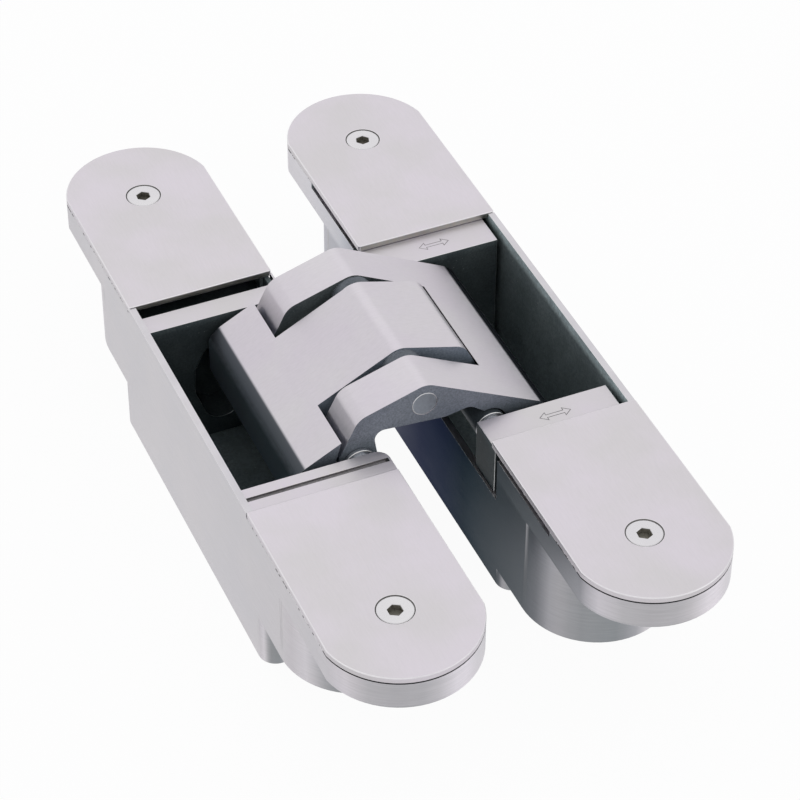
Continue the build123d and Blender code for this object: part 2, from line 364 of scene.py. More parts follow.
def multiply(tree, first, second):
    """The product of two colours."""
    return blend_colours(tree, 1.0, first, second, "MULTIPLY")


def brighten(tree, colour, factor):
    """A colour made brighter or darker by a factor."""
    return add_node(tree, "ShaderNodeVectorMath", {0: colour, "Scale": factor},
                    operation="SCALE").outputs[0]


def colour_ramp(tree, factor, stops):
    """A colour ramp with (place, colour) stops, driven by a socket."""
    ramp = add_node(tree, "ShaderNodeValToRGB", {"Fac": factor})
    keys = ramp.color_ramp.elements
    while len(keys) < len(stops):
        keys.new(1.0)
    for key, (place, colour) in zip(keys, stops):
        key.position = place
        key.color = (*colour, 1)
    return ramp.outputs["Color"]


def soft_step(tree, value, low, high):
    """Rises softly from 0 to 1 between two values of a socket."""
    return remap(tree, value, old=(low, high), interpolation_type="SMOOTHSTEP")


def height_between(tree, low, high):
    """Rises evenly from 0 to 1 between two heights."""
    return place_group(tree, height_level, {"Low": low, "High": high}).outputs["Level"]


print("a tint of", WHITE, "leaves a metal as it is")

# %% [markdown]
# ## The painted sheen round the ends
#
# The rounded ends get a painted reflection: upright bright and dull stripes in their colour,
# as if they mirrored the bright and the dark parts of a studio in turn. The deep ends below
# the flange get it more strongly than the flange does. So there is one ramp for each, both
# read the turn of the wall, and height blends them.

# %% Painted sheen
shelf_top = 29.8 * MM
flange_bottom = 31.2 * MM


def painted_end_sheen(tree, turn, height):
    """Painted highlights and painted shade in stripes round the ends."""
    flange = colour_ramp(tree, turn, [
        (0.0, WHITE), (0.09, (1.04, 1.03, 1.04)), (0.16, (1.17, 1.15, 1.17)),
        (0.20, (1.02, 1.01, 1.02)), (0.26, (0.83, 0.84, 0.84)), (0.36, (0.77, 0.78, 0.78)),
        (0.46, (0.79, 0.80, 0.80)), (0.52, (0.94, 0.94, 0.94)), (0.60, (1.28, 1.26, 1.28)),
        (0.65, (1.32, 1.29, 1.32)), (0.72, (1.14, 1.13, 1.14)), (1.0, WHITE)])
    shelf = colour_ramp(tree, turn, [
        (0.0, WHITE), (0.09, (1.0, 0.99, 1.0)), (0.16, (1.16, 1.15, 1.16)),
        (0.20, (0.98, 0.98, 0.98)), (0.25, (0.70, 0.72, 0.72)), (0.30, (0.54, 0.57, 0.57)),
        (0.44, (0.48, 0.52, 0.52)), (0.48, (0.55, 0.58, 0.59)), (0.53, (0.70, 0.72, 0.73)),
        (0.58, (1.05, 1.05, 1.05)), (0.64, (1.25, 1.23, 1.25)), (1.0, WHITE)])
    return blend_colours(tree, height, shelf, flange)


print("sheen changes over", round((flange_bottom - shelf_top) / MM, 2), "mm of height")

# %% [markdown]
# ## The painted shade in the gap
#
# The walls that look at the other half get little light, least of all under the arms. A ramp
# along the hinge paints that shade into their colour. It is put on by how squarely a wall
# faces the other half, a little later on the flange, and it is left off the level rims.

# %% Painted sheen and shade on the walls
ramp_half_length = 90.0 * MM
shade_from = 0.66
shade_full = 0.93
flange_later = 0.08
flange_gain = 1.18


def gap_shade(tree, height):
    """Painted shade along the gap, a little lighter on the flange."""
    along = remap(tree, axes_of(tree, object_place(tree))["Y"],
                  old=(-ramp_half_length, ramp_half_length))
    shade = colour_ramp(tree, along, [
        (0.0, (0.56, 0.58, 0.59)), (0.10, (0.45, 0.47, 0.48)), (0.17, (0.36, 0.385, 0.395)),
        (0.24, (0.285, 0.31, 0.32)), (0.30, (0.24, 0.265, 0.275)), (0.37, (0.185, 0.21, 0.225)),
        (0.43, (0.185, 0.205, 0.24)), (0.50, (0.20, 0.215, 0.26)), (0.57, (0.26, 0.275, 0.32)),
        (0.68, (0.56, 0.58, 0.60)), (0.77, (0.84, 0.86, 0.88)), (1.0, (1.0, 1.0, 1.01))])
    return brighten(tree, shade, remap(tree, height, new=(1.0, flange_gain)))


def painted_sheen_and_gap_shade(tree):
    """Painted sheen round the ends, and painted shade on walls that face the other half."""
    turn = place_group(tree, wall_turn)
    height = height_between(tree, shelf_top, flange_bottom)
    later = calculate(tree, "MULTIPLY_ADD", height, -flange_later, turn.outputs["Facing"])
    facing = soft_step(tree, later, shade_from, shade_full)
    shade = blend_colours(tree, facing, WHITE, gap_shade(tree, height))
    shaded = multiply(tree, painted_end_sheen(tree, turn.outputs["Turn"], height), shade)
    return blend_colours(tree, turn.outputs["Upright"], WHITE, shaded)


print("walls take the gap's shade from", round(180 * shade_from), "degrees of turn on")

# %% [markdown]
# ## The light in the wells
#
# Deep walls lose their light on the way down, and the arms and lugs darken where they sink
# below the faces. A ramp over height paints each of them its own fading, as painted light
# and shade in the metal's colour, so it stays the same under any lamp.


# %% Painted light and shade in the wells, on the lugs and on the arms
def painted_drop_shade(tree):
    """Painted shade where the end of an arm turns down into a well."""
    turn = place_group(tree, wall_turn)
    down = colour_ramp(tree, turn.outputs["Facing"], [
        (0.0, (0.66, 0.78, 0.82)), (0.14, (0.54, 0.63, 0.66)), (0.20, (0.20, 0.235, 0.25)),
        (0.25, (0.10, 0.12, 0.13)), (0.285, (0.16, 0.18, 0.19)), (0.31, (0.60, 0.62, 0.63)),
        (0.335, WHITE)])
    return blend_colours(tree, height_between(tree, 35.5 * MM, 38.5 * MM), down, WHITE)


def painted_well_light(tree, rim=3.3):
    """Painted light in a well: dull half way down, a little brighter below, bright at the rim."""
    return colour_ramp(tree, height_between(tree, 0.0, 40.0 * MM), [
        (0.0, (1.1, 1.12, 1.16)), (0.2, (1.5, 1.5, 1.5)), (0.4, (1.35, 1.35, 1.35)),
        (0.6, (1.05, 1.05, 1.05)), (0.8, (0.95, 0.95, 0.95)), (0.89, (1.1, 1.1, 1.1)),
        (0.93, (0.9 * rim, 0.9 * rim, 0.89 * rim)), (1.0, (rim, rim, 0.99 * rim))])


def painted_lug_light(tree):
    """Painted light in a well, and painted shade on the sides that face the other half."""
    turn = place_group(tree, wall_turn)
    facing = soft_step(tree, turn.outputs["Facing"], 0.6, 0.95)
    shade = blend_colours(tree, facing, WHITE, (0.36, 0.46, 0.50))
    return multiply(tree, painted_well_light(tree, rim=2.1), shade)


def painted_tip_shade(tree):
    """Painted shade where the flat side of an arm sinks below the faces."""
    return colour_ramp(tree, height_between(tree, 30.0 * MM, 41.0 * MM), [
        (0.0, (0.40, 0.48, 0.48)), (0.6, (0.80, 0.84, 0.82)), (1.0, WHITE)])


print("tints:", [painted_light.__name__ for painted_light in (painted_sheen_and_gap_shade, painted_drop_shade, painted_well_light, painted_lug_light, painted_tip_shade)])

# %% [markdown]
# ## A recipe for satin metal
#
# Covers, arms and halves are a pale brushed metal. The brushed lines are used three times: a
# little in the colour, a little in the gloss, and as very low bumps. Each one alone is too
# faint to notice, and together they read as brushed. Painted light and shade go into the
# colour, and into the colour of glancing reflections, which would otherwise stay bright in
# the gap.


# %% Satin metal recipe
def new_material(name):
    """A new material, its node tree and its shader."""
    material = bpy.data.materials.new(name)
    material.use_nodes = True
    return material, material.node_tree, material.node_tree.nodes["Principled BSDF"]


def feed(tree, shader, colour, gloss, relief):
    """Links a shader's colour, its gloss and its bumps."""
    sources = {"Base Color": colour, "Roughness": gloss, "Normal": relief.outputs[0]}
    for name, socket in sources.items():
        tree.links.new(socket, shader.inputs[name])


def satin_metal(name, cool, warm, roughness, stretch, line_depth, line_tone=0.03, painted_light=None,
                joint=False):
    """Pale metal with brushed lines that show in its colour, gloss and relief."""
    material, tree, shader = new_material(name)
    shader.inputs["Metallic"].default_value = 1.0
    patches = place_group(tree, mottling, {"Cool": (*cool, 1), "Warm": (*warm, 1)})
    lines = place_group(tree, brushed_lines, {"Stretch": stretch}).outputs["Lines"]
    tone = remap(tree, lines, new=(1 - line_tone, 1 + line_tone))
    colour = brighten(tree, patches.outputs["Color"], tone)
    # Painted light and shade multiply the colour and the colour of glancing reflections.
    if painted_light:
        shadow = painted_light(tree)
        colour = multiply(tree, colour, shadow)
        tree.links.new(shadow, shader.inputs["Specular Tint"])
    if joint:
        line = place_group(tree, joint_line).outputs["Line"]
        colour = multiply(tree, colour, blend_colours(tree, line, WHITE, (0.06, 0.06, 0.065)))
    gloss = remap(tree, lines, new=(roughness - 0.05, roughness + 0.07))
    relief = add_node(tree, "ShaderNodeBump",
                      {"Strength": 0.35, "Distance": line_depth, "Height": lines})
    feed(tree, shader, colour, gloss, relief)
    return material


print("the satin recipe mixes", brushed_lines.name, "with", mottling.name)

# %% [markdown]
# ## A recipe for cast metal
#
# The insides of the halves and the sides of the arms are never ground. They are rough, and
# dark partly in their own colour and partly by painted shade, so this recipe is only partly
# metallic, and the cast grain drives its colour, its gloss and its bumps. Painted light and
# shade can multiply its colour.


# %% Cast metal recipe
def cast_metal(name, dark, pale, roughness, fineness, depth, speck, painted_light=None):
    """Rough cast skin, duller than bare metal. speck colours its few bright grains."""
    material, tree, shader = new_material(name)
    shader.inputs["Metallic"].default_value = 0.3
    shader.inputs["Specular Tint"].default_value = (0.45, 0.48, 0.5, 1)
    patches = place_group(
        tree, mottling, {"Cool": (*dark, 1), "Warm": (*pale, 1), "Fineness": 90.0})
    grain = place_group(tree, cast_grain, {"Fineness": fineness}).outputs
    mottle = remap(tree, grain["Height"], old=(0.3, 0.7), new=(0.7, 1.3))
    colour = brighten(tree, patches.outputs["Color"], mottle)
    # Painted light and shade multiply the colour.
    if painted_light:
        colour = multiply(tree, colour, painted_light(tree))
    colour = blend_colours(tree, grain["Specks"], colour, speck)
    gloss = remap(tree, grain["Height"], new=(roughness - 0.08, roughness + 0.12))
    relief = add_node(tree, "ShaderNodeBump",
                      {"Strength": 0.7, "Distance": depth, "Height": grain["Height"]})
    feed(tree, shader, colour, gloss, relief)
    return material


print("the cast recipe mixes", cast_grain.name, "with", mottling.name)

# %% [markdown]
# ## The finished metals
#
# The plates are brushed along the hinge, and the halves round their rims, so each metal has
# its own stretch: the axis with the smallest number is the one its lines run along. All have
# nearly the same pale lilac grey, as parts that were plated together do.

# %% Plates, halves, tabs and arms
lilac = (0.622, 0.585, 0.632)
straw = (0.587, 0.564, 0.584)

cover_satin = satin_metal("cover_satin", lilac, straw, roughness=0.38, line_tone=0.035,
                          stretch=(2400, 300, 3200), line_depth=0.015 * MM, joint=True)
# case_satin carries the painted sheen round the ends and the painted shade in the gap.
case_satin = satin_metal("case_satin", (0.565, 0.55, 0.58), (0.585, 0.565, 0.59),
                         roughness=0.36, stretch=(110, 110, 3000), line_depth=0.04 * MM,
                         line_tone=0.09, painted_light=painted_sheen_and_gap_shade, joint=True)
block_satin = satin_metal("block_satin", lilac, (0.595, 0.575, 0.59), roughness=0.46,
                          stretch=(260, 1800, 2400), line_depth=0.02 * MM)
# arm_satin carries painted shade where the arms turn down into the wells.
arm_satin = satin_metal("arm_satin", (0.600, 0.563, 0.615), (0.612, 0.588, 0.618),
                        roughness=0.36, stretch=(500, 2400, 900), line_depth=0.015 * MM,
                        line_tone=0.045, painted_light=painted_drop_shade)
print("satin metals:", [material.name for material in bpy.data.materials])

# %% Pins, screws and painted edge highlights
pin_ground = satin_metal("pin_ground", (0.55, 0.56, 0.58), (0.62, 0.62, 0.63), roughness=0.28,
                         stretch=(1500, 400, 1500), line_depth=0.01 * MM)
pin_face = satin_metal("pin_face", (0.35, 0.375, 0.43), (0.42, 0.44, 0.48), roughness=0.42,
                       stretch=(1600, 1600, 1600), line_depth=0.01 * MM, line_tone=0.10)
screw_bright = satin_metal("screw_bright", (0.60, 0.585, 0.61), (0.635, 0.625, 0.64),
                           roughness=0.24, stretch=(900, 900, 900), line_depth=0.01 * MM,
                           line_tone=0.02)
# The two edge metals are painted highlights along the roundings.
painted_edge_highlight = satin_metal("painted_edge_highlight", (0.74, 0.74, 0.75), (0.80, 0.80, 0.80), roughness=0.30,
                          stretch=(700, 700, 700), line_depth=0.01 * MM, line_tone=0.05,
                          joint=True)
painted_soft_edge_highlight = satin_metal("painted_soft_edge_highlight", (0.70, 0.68, 0.71), (0.76, 0.745, 0.765), roughness=0.32,
                        stretch=(700, 700, 700), line_depth=0.01 * MM, line_tone=0.05,
                        joint=True)
edge_olive = satin_metal("edge_olive", (0.36, 0.35, 0.32), (0.50, 0.49, 0.45), roughness=0.42,
                         stretch=(200, 200, 3000), line_depth=0.03 * MM, line_tone=0.12)
print("materials so far:", len(bpy.data.materials))

# %% [markdown]
# ## The rough and dark metals
#
# These are what the eye sees in the wells, the slots and the sockets. They differ mostly in
# how dark they are, and that difference is painted shade, because less light gets to some of
# them than to others.

# %% Wells, slots and small dark parts
# case_inside carries painted light down the wells, block_side painted shade on the lugs, and arm_end
# painted shade on the sunk ends of the arms.
case_inside = cast_metal("case_inside", (0.137, 0.166, 0.172), (0.182, 0.215, 0.221), roughness=0.50,
                         fineness=1500, depth=0.1 * MM, speck=(0.42, 0.46, 0.47),
                         painted_light=painted_well_light)
block_side = cast_metal("block_side", (0.042, 0.053, 0.057), (0.072, 0.087, 0.09), roughness=0.46,
                        fineness=1800, depth=0.06 * MM, speck=(0.22, 0.24, 0.24),
                        painted_light=painted_lug_light)
arm_end = cast_metal("arm_end", (0.175, 0.192, 0.235), (0.226, 0.244, 0.285), roughness=0.50,
                     fineness=2200, depth=0.16 * MM, speck=(0.40, 0.41, 0.44), painted_light=painted_tip_shade)
slot_side = cast_metal("slot_side", (0.05, 0.062, 0.066), (0.095, 0.11, 0.112), roughness=0.48,
                       fineness=2000, depth=0.08 * MM, speck=(0.22, 0.24, 0.24))
slot_pale = cast_metal("slot_pale", (0.19, 0.225, 0.275), (0.24, 0.275, 0.33), roughness=0.48,
                       fineness=2000, depth=0.08 * MM, speck=(0.34, 0.36, 0.38))
# The pivot sleeves' dark metal is painted shade, so that they show no highlight.
sleeve_painted_shade = cast_metal("sleeve_painted_shade", (0.05, 0.062, 0.07), (0.07, 0.084, 0.092), roughness=0.42,
                         fineness=2600, depth=0.02 * MM, speck=(0.16, 0.17, 0.18))
seam_dark = cast_metal("seam_dark", (0.11, 0.105, 0.10), (0.18, 0.172, 0.165), roughness=0.6,
                       fineness=2000, depth=0.03 * MM, speck=(0.24, 0.23, 0.22))
socket_brown = cast_metal("socket_brown", (0.165, 0.155, 0.13), (0.25, 0.235, 0.20), roughness=0.45,
                          fineness=2400, depth=0.03 * MM, speck=(0.34, 0.32, 0.28))
engraved = cast_metal("engraved", (0.16, 0.15, 0.155), (0.24, 0.225, 0.23), roughness=0.5,
                      fineness=2400, depth=0.03 * MM, speck=(0.34, 0.33, 0.33))
washer_dark = cast_metal("washer_dark", (0.09, 0.10, 0.12), (0.14, 0.155, 0.175), roughness=0.42,
                         fineness=2400, depth=0.03 * MM, speck=(0.30, 0.31, 0.33))
bush_black = cast_metal("bush_black", (0.03, 0.032, 0.035), (0.05, 0.052, 0.055), roughness=0.42,
                        fineness=3000, depth=0.02 * MM, speck=(0.12, 0.12, 0.12))
print("materials:", len(bpy.data.materials))

# %% [markdown]
# ## Rounded copies of the solids
#
# No real edge is perfectly sharp, and on metal the rounding is what catches the light. Each
# solid is copied, its loose triangles are joined into whole faces, and its outward edges are
# bevelled. A function picks each face's metal by where it lies and which way it looks, and the
# roundings themselves can take a brighter metal, a painted highlight along the edge.


# %% Copy and bake
weld = 0.002 * MM
flat_angle = radians(0.6)
sharp_angle = radians(24)


def whole_copy(node):
    """A copy of a solid as one mesh, its flat faces whole and its curved ones shaded smooth."""
    work = bmesh.new()
    work.from_mesh(frame["nodes"][node].data)
    bmesh.ops.remove_doubles(work, verts=work.verts, dist=weld)
    bmesh.ops.dissolve_limit(work, angle_limit=flat_angle, verts=work.verts, edges=work.edges)
    for edge in work.edges:
        edge.smooth = len(edge.link_faces) == 2 and edge.calc_face_angle() < sharp_angle
    return work


def add_box(work, low, high, metal):
    """Adds a box between two corners, both in millimetres, to a mesh in the making."""
    low, high = Vector(low) * MM, Vector(high) * MM
    place = Matrix.Translation((low + high) / 2) @ Matrix.Diagonal((*(high - low), 1))
    made = bmesh.ops.create_cube(work, size=1.0, matrix=place)
    for face in {face for vert in made["verts"] for face in vert.link_faces}:
        face.material_index = metal


def bake(thing):
    """Turns the object and its modifiers into a plain mesh."""
    graph = bpy.context.evaluated_depsgraph_get()
    mesh = bpy.data.meshes.new_from_object(thing.evaluated_get(graph))
    thing.modifiers.clear()
    thing.data = mesh
    mesh.name = thing.name
    return thing


print("edges under", round(sharp_angle * 180 / pi), "degrees are shaded smooth")


# %% Stand in for a solid
def body_of(node):
    """The moving body that carries a node."""
    bodies = frame["record"]["behaviour"]["bodies"]
    return next(name for name, nodes in bodies.items() if node in nodes)


def stand_for(thing, node):
    """Lets an object take a solid's place on its body, and hides the solid."""
    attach(thing, body_of(node))
    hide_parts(node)
    print(thing.name, len(thing.data.polygons), "faces")


print("bodies:", sorted({body_of(node) for node in frame["nodes"]}))


# %% Dress one solid
def dress(node, metals, choose, width, edge_metal=None, share=None, extra=None):
    """A rounded copy of a solid that stands for it.

    choose(face) gives the number of a face's metal, share(edge) how much of the full width
    an edge is rounded by, and extra(mesh) adds small forms that the solid leaves out.
    """
    work = whole_copy(node)
    weights = work.edges.layers.float.new("bevel_weight_edge")
    for face in work.faces:
        face.material_index = choose(face)
        face.smooth = True
    for edge in work.edges:
        if not edge.smooth and edge.is_convex:
            edge[weights] = share(edge) if share else 1.0
    if extra:
        extra(work)
    name = "dressed_" + node
    mesh = bpy.data.meshes.new(name)
    work.to_mesh(mesh)
    work.free()
    thing = bpy.data.objects.new(name, mesh)
    bpy.context.scene.collection.objects.link(thing)
    for metal in metals:
        mesh.materials.append(metal)
    bevel = thing.modifiers.new("rounding", "BEVEL")
    bevel.limit_method = "WEIGHT"
    bevel.width = width
    bevel.segments = 2
    bevel.harden_normals = True
    # The roundings can take a brighter metal: a painted highlight.
    if edge_metal is not None:
        bevel.material = edge_metal
    stand_for(bake(thing), node)


print("solids to dress:", len(frame["nodes"]))

# %% [markdown]
# ## Which face takes which metal
#
# A half is satin outside and cast inside, and the code has to tell the two apart by itself.
# The middle of a face and its normal are enough: a wall whose normal leads away from the
# middle of its half is outside. The three cosines say how nearly a normal follows an axis.

# %% Faces of the halves
slanting = 0.3
leaning = 0.5
square_on = 0.9
half_x = 28.5 * MM
inside_across = 16.1 * MM
inside_along = 66.2 * MM
case_bottom = 1.0 * MM
rim_low = 35.0 * MM


def case_metal(face):
    """0 outside and on the rims, 1 inside."""
    place = face.calc_center_median()
    normal = face.normal
    across = abs(place.x) - half_x
    outward = normal.x * (across if place.x > 0 else -across) + normal.y * place.y
    if abs(normal.z) < leaning:
        return 1 if outward < 0 else 0
    within = abs(across) < inside_across and abs(place.y) < inside_along
    return 1 if within and case_bottom < place.z < rim_low and normal.z > 0 else 0


print("a half's wells reach", round(inside_along / MM, 1), "mm either way")

# %% Faces and edges of the cover plates
screw_y = 75.5 * MM
head_room = 4.6 * MM
cover_front_y = 40.0 * MM
nearly_level = 0.95


def from_screw(place):
    """How far a place on a cover plate is from the middle of its screw."""
    return Vector((abs(place.x) - half_x, abs(place.y) - screw_y)).length


def cover_metal(face):
    """0 on top and round the rim, 1 on the straight front edge, 2 in the screw hole."""
    place = face.calc_center_median()
    if from_screw(place) < head_room and abs(face.normal.z) < nearly_level:
        return 2
    return 1 if abs(face.normal.y) > square_on and abs(place.y) < cover_front_y else 0


def cover_share(edge):
    """Full rounding at the front corners, a fine one round the rim, almost none at the hole."""
    first, second = (vert.co for vert in edge.verts)
    along = second - first
    place = (first + second) / 2
    if from_screw(place) < head_room:
        return 0.1
    upright = abs(along.z) > square_on * along.length
    return 1.0 if upright and abs(place.y) < cover_front_y else 0.4


print("cover screws sit", round(screw_y / MM, 1), "mm from the middle")

# %% Faces and edges of the arms
arm_side_y = 26.0 * MM
skin = 0.1 * MM
slot_below = face_z - 1.0 * MM
well_below = face_z - 2.0 * MM


def arm_metal(face):
    """0 on the finished skin, 1 on the flat ends and undersides, 2 in the slots."""
    place = face.calc_center_median()
    if abs(face.normal.y) > square_on:
        return 1 if abs(place.y) > arm_side_y - skin else 2
    if face.normal.z < -slanting:
        return 1
    inward = face.normal.x * place.x < 0 and face.normal.z < slanting
    return 2 if inward and place.z < slot_below else 0


def arm_share(edge):
    """A fine rounding on the edges in sight, a finer one where an arm lies in a well."""
    height = (edge.verts[0].co.z + edge.verts[1].co.z) / 2
    return 0.7 if height > well_below else 0.25


print("the arms are", round(2 * arm_side_y / MM, 1), "mm wide")

# %% Faces of the blocks and pins
tab_z = 37.4 * MM
groove_reach = 1.3 * MM


def block_metal(face):
    """0 on the tab, 1 on the sides, 2 in the groove, where the dark metal is painted shade."""
    height = face.calc_center_median().z
    if face.normal.z > leaning and height > tab_z - skin:
        return 0
    in_groove = height > tab_z - groove_reach and (
        abs(face.normal.y) > leaning or face.normal.z > leaning)
    return 2 if in_groove else 1


def pin_metal(face):
    """1 on the flat ends of a pin, 0 round it."""
    return 1 if abs(face.normal.y) > square_on else 0


def one_metal(face):
    """The same metal all over."""
    return 0


print("tabs are", round((face_z - tab_z) / MM, 1), "mm under the faces")

# %% [markdown]
# ## Two small forms on the left tabs
#
# The groove in the near tab should read as a fine dark line, and the step in the far tab is
# closed towards the gap by a thin wall. Both are plain boxes, added to the rounded copies. The
# groove's floor takes a dark metal as painted shade.

# %% Groove floor and cheek
groove_corners = (-44.0, -32.35, 36.3), (-11.7, -31.25, 36.95)
cheek_corners = (-12.7, 33.95, 31.3), (-11.6, 37.95, 37.3)


def groove_floor(work):
    """A shallow floor for the groove, in dark metal as painted shade."""
    add_box(work, *groove_corners, metal=2)


def pocket_cheek(work):
    """The thin wall that closes the step."""
    add_box(work, *cheek_corners, metal=1)


extras = {"block_left_near": groove_floor, "block_left_far": pocket_cheek}
print("extra forms on:", sorted(extras))

# %% [markdown]
# ## Dress every solid
#
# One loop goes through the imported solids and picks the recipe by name. The plates get the
# widest rounding, because their front corners are the softest edges on the hinge.

# %% Dress the solids
plate_edge = 0.55 * MM
case_edge = 0.3 * MM
pin_edge = 0.2 * MM
washer_edge = 0.15 * MM

for node in frame["nodes"]:
    if node.startswith("case"):
        dress(node, [case_satin, case_inside, painted_edge_highlight], case_metal, case_edge, edge_metal=2)
    elif node.startswith("cover_screws"):
        continue
    elif node.startswith("cover"):
        dress(node, [cover_satin, edge_olive, seam_dark, painted_soft_edge_highlight], cover_metal, plate_edge,
              edge_metal=3, share=cover_share)
    elif node.startswith("block"):
        dress(node, [block_satin, block_side, engraved, painted_edge_highlight], block_metal, case_edge,
              edge_metal=3, extra=extras.get(node))
    elif node.endswith("arm"):
        slot = slot_pale if node.startswith("tongue") else slot_side
        dress(node, [arm_satin, arm_end, slot, painted_soft_edge_highlight], arm_metal, case_edge, edge_metal=3,
              share=arm_share)
    elif "sleeves" in node:
        dress(node, [sleeve_painted_shade, pin_face, painted_edge_highlight], pin_metal, pin_edge, edge_metal=2)
    elif "bushes" in node:
        dress(node, [bush_black], one_metal, pin_edge)
    elif "washers" in node:
        dress(node, [washer_dark, painted_edge_highlight], one_metal, washer_edge, edge_metal=1)
    else:
        dress(node, [pin_ground, pin_face, painted_edge_highlight], pin_metal, pin_edge, edge_metal=2)

# %% [markdown]
# ## The cover screws
#
# Each plate is held by one countersunk screw with a hexagon socket. One screw is drawn as a
# stack of rings. A ring is a circle, or a hexagon with as many points, so neighbouring rings
# always join cleanly.


# %% One screw
ring_points = 60
head_radius = 4.05 * MM
shank_radius = 2.0 * MM
shank_end = -6.5 * MM
chamfer = 0.18 * MM
socket_half = 1.5 * MM
socket_lead = 0.12 * MM
socket_depth = 1.5 * MM


def circle_ring(radius, height):
    """A circle of points round the z axis."""
    angles = [2 * pi * i / ring_points for i in range(ring_points)]
    return [(radius * cos(angle), radius * sin(angle), height) for angle in angles]


def hexagon_ring(half_flats, height):
    """A hexagon with as many points as a circle. half_flats is half its width across flats."""
    points = []
    for i in range(ring_points):
        angle = 2 * pi * i / ring_points
        radius = half_flats / cos(angle % (pi / 3) - pi / 6)
        points.append((radius * cos(angle), radius * sin(angle), height))
    return points


def screw_mesh():
    """A countersunk screw at the origin, its socket faces marked."""
    rings = [
        circle_ring(shank_radius, shank_end),
        circle_ring(shank_radius, -(head_radius - shank_radius) - chamfer),
        circle_ring(head_radius, -chamfer),
        circle_ring(head_radius - 0.6 * chamfer, -0.3 * chamfer),
        circle_ring(head_radius - 1.4 * chamfer, 0),
        hexagon_ring(socket_half + socket_lead, 0),
        hexagon_ring(socket_half, -socket_lead),
        hexagon_ring(socket_half, -socket_depth),
    ]
    last_outer_ring = 6
    mesh = bpy.data.meshes.new("cover_screw")
    faces = [tuple(reversed(range(ring_points)))]
    for level in range(len(rings) - 1):
        for i in range(ring_points):
            a = level * ring_points + i
            b = level * ring_points + (i + 1) % ring_points
            faces.append((a, b, b + ring_points, a + ring_points))
    last = (len(rings) - 1) * ring_points
    faces.append(tuple(last + i for i in range(ring_points)))
    mesh.from_pydata([point for ring in rings for point in ring], [], faces)
    first_socket_face = 1 + last_outer_ring * ring_points
    mark = mesh.attributes.new("in_socket", "BOOLEAN", "FACE")
    for index, item in enumerate(mark.data):
        item.value = index >= first_socket_face
    return mesh


print("screw heads are", round(2 * head_radius / MM, 1), "mm wide")

# %% [markdown]
# ## Repeat the screw
#
# A small geometry node tree puts a copy at both ends of a half and turns each by its own
# angle, because nobody lines screws up by hand. A named attribute marks the socket's faces,
# so that the tree can give them the darker metal.


# %% Repeat the screw with geometry nodes
def make_screw_row():
    """Copies of the incoming mesh in a row, each turned by its own angle."""
    group = bpy.data.node_groups.new("screw_row", "GeometryNodeTree")
    inputs = {"Screw": "NodeSocketGeometry", "Start": VECTOR, "Step": VECTOR,
              "Seed": "NodeSocketInt", "Metal": "NodeSocketMaterial",
              "Socket": "NodeSocketMaterial"}
    for label, kind in inputs.items():
        group.interface.new_socket(label, in_out="INPUT", socket_type=kind)
    group.interface.new_socket("Screws", in_out="OUTPUT", socket_type="NodeSocketGeometry")
    given = group.nodes.new("NodeGroupInput").outputs
    result = group.nodes.new("NodeGroupOutput").inputs
    row = add_node(group, "GeometryNodeMeshLine",
                   {"Count": 2, "Start Location": given["Start"], "Offset": given["Step"]})
    angle = add_node(group, "FunctionNodeRandomValue",
                     {"Min": (0, 0, 0), "Max": (0, 0, pi), "Seed": given["Seed"]},
                     data_type="FLOAT_VECTOR")
    copies = add_node(group, "GeometryNodeInstanceOnPoints", {
        "Points": row.outputs[0], "Instance": given["Screw"], "Rotation": angle.outputs[0]})
    real = add_node(group, "GeometryNodeRealizeInstances", {0: copies.outputs[0]})
    metal = add_node(group, "GeometryNodeSetMaterial",
                     {"Geometry": real.outputs[0], "Material": given["Metal"]})
    mark = add_node(group, "GeometryNodeInputNamedAttribute", {"Name": "in_socket"},
                    data_type="BOOLEAN")
    socket = add_node(group, "GeometryNodeSetMaterial", {
        "Geometry": metal.outputs[0], "Selection": mark.outputs["Attribute"],
        "Material": given["Socket"]})
    group.links.new(socket.outputs[0], result[0])
    return group


screw_top = 38.9 * MM
seed = 5
screw_row = make_screw_row()
for side, node in ((-1, "cover_screws_left"), (1, "cover_screws_right")):
    screws = bpy.data.objects.new("dressed_" + node, screw_mesh())
    bpy.context.scene.collection.objects.link(screws)
    repeat = screws.modifiers.new("row", "NODES")
    repeat.node_group = screw_row
    values = {"Start": (side * half_x, -screw_y, screw_top), "Step": (0, 2 * screw_y, 0),
              "Seed": seed + side, "Metal": screw_bright, "Socket": socket_brown}
    for item in screw_row.interface.items_tree:
        if item.in_out == "INPUT" and item.name in values:
            repeat[item.identifier] = values[item.name]
    stand_for(bake(screws), node)

# %% [markdown]
# ## Marks on the right tabs
#
# A double arrow is engraved on each right tab. It shows that these blocks slide sideways. The
# arrow is one closed outline, drawn with a fine line that lies in the tab's skin.


# %% A line round an outline
mitre_limit = 0.35


def stroke(points, width, height):
    """A flat closed line through the points, with mitred corners."""
    verts = []
    count = len(points)
    for i in range(count):
        before, here, after = (Vector(points[(i + k) % count]) for k in (-1, 0, 1))
        first = (here - before).normalized()
        second = (after - here).normalized()
        corner = Vector((-first.y - second.y, first.x + second.x)).normalized()
        half = width / 2 / max(mitre_limit, corner.dot(Vector((-second.y, second.x))))
        verts += [(*(here - half * corner), height), (*(here + half * corner), height)]
    faces = [(2 * i, 2 * ((i + 1) % count), 2 * ((i + 1) % count) + 1, 2 * i + 1)
             for i in range(count)]
    return verts, faces


print("a mitre is at most", round(1 / mitre_limit, 1), "times as long as the line is wide")

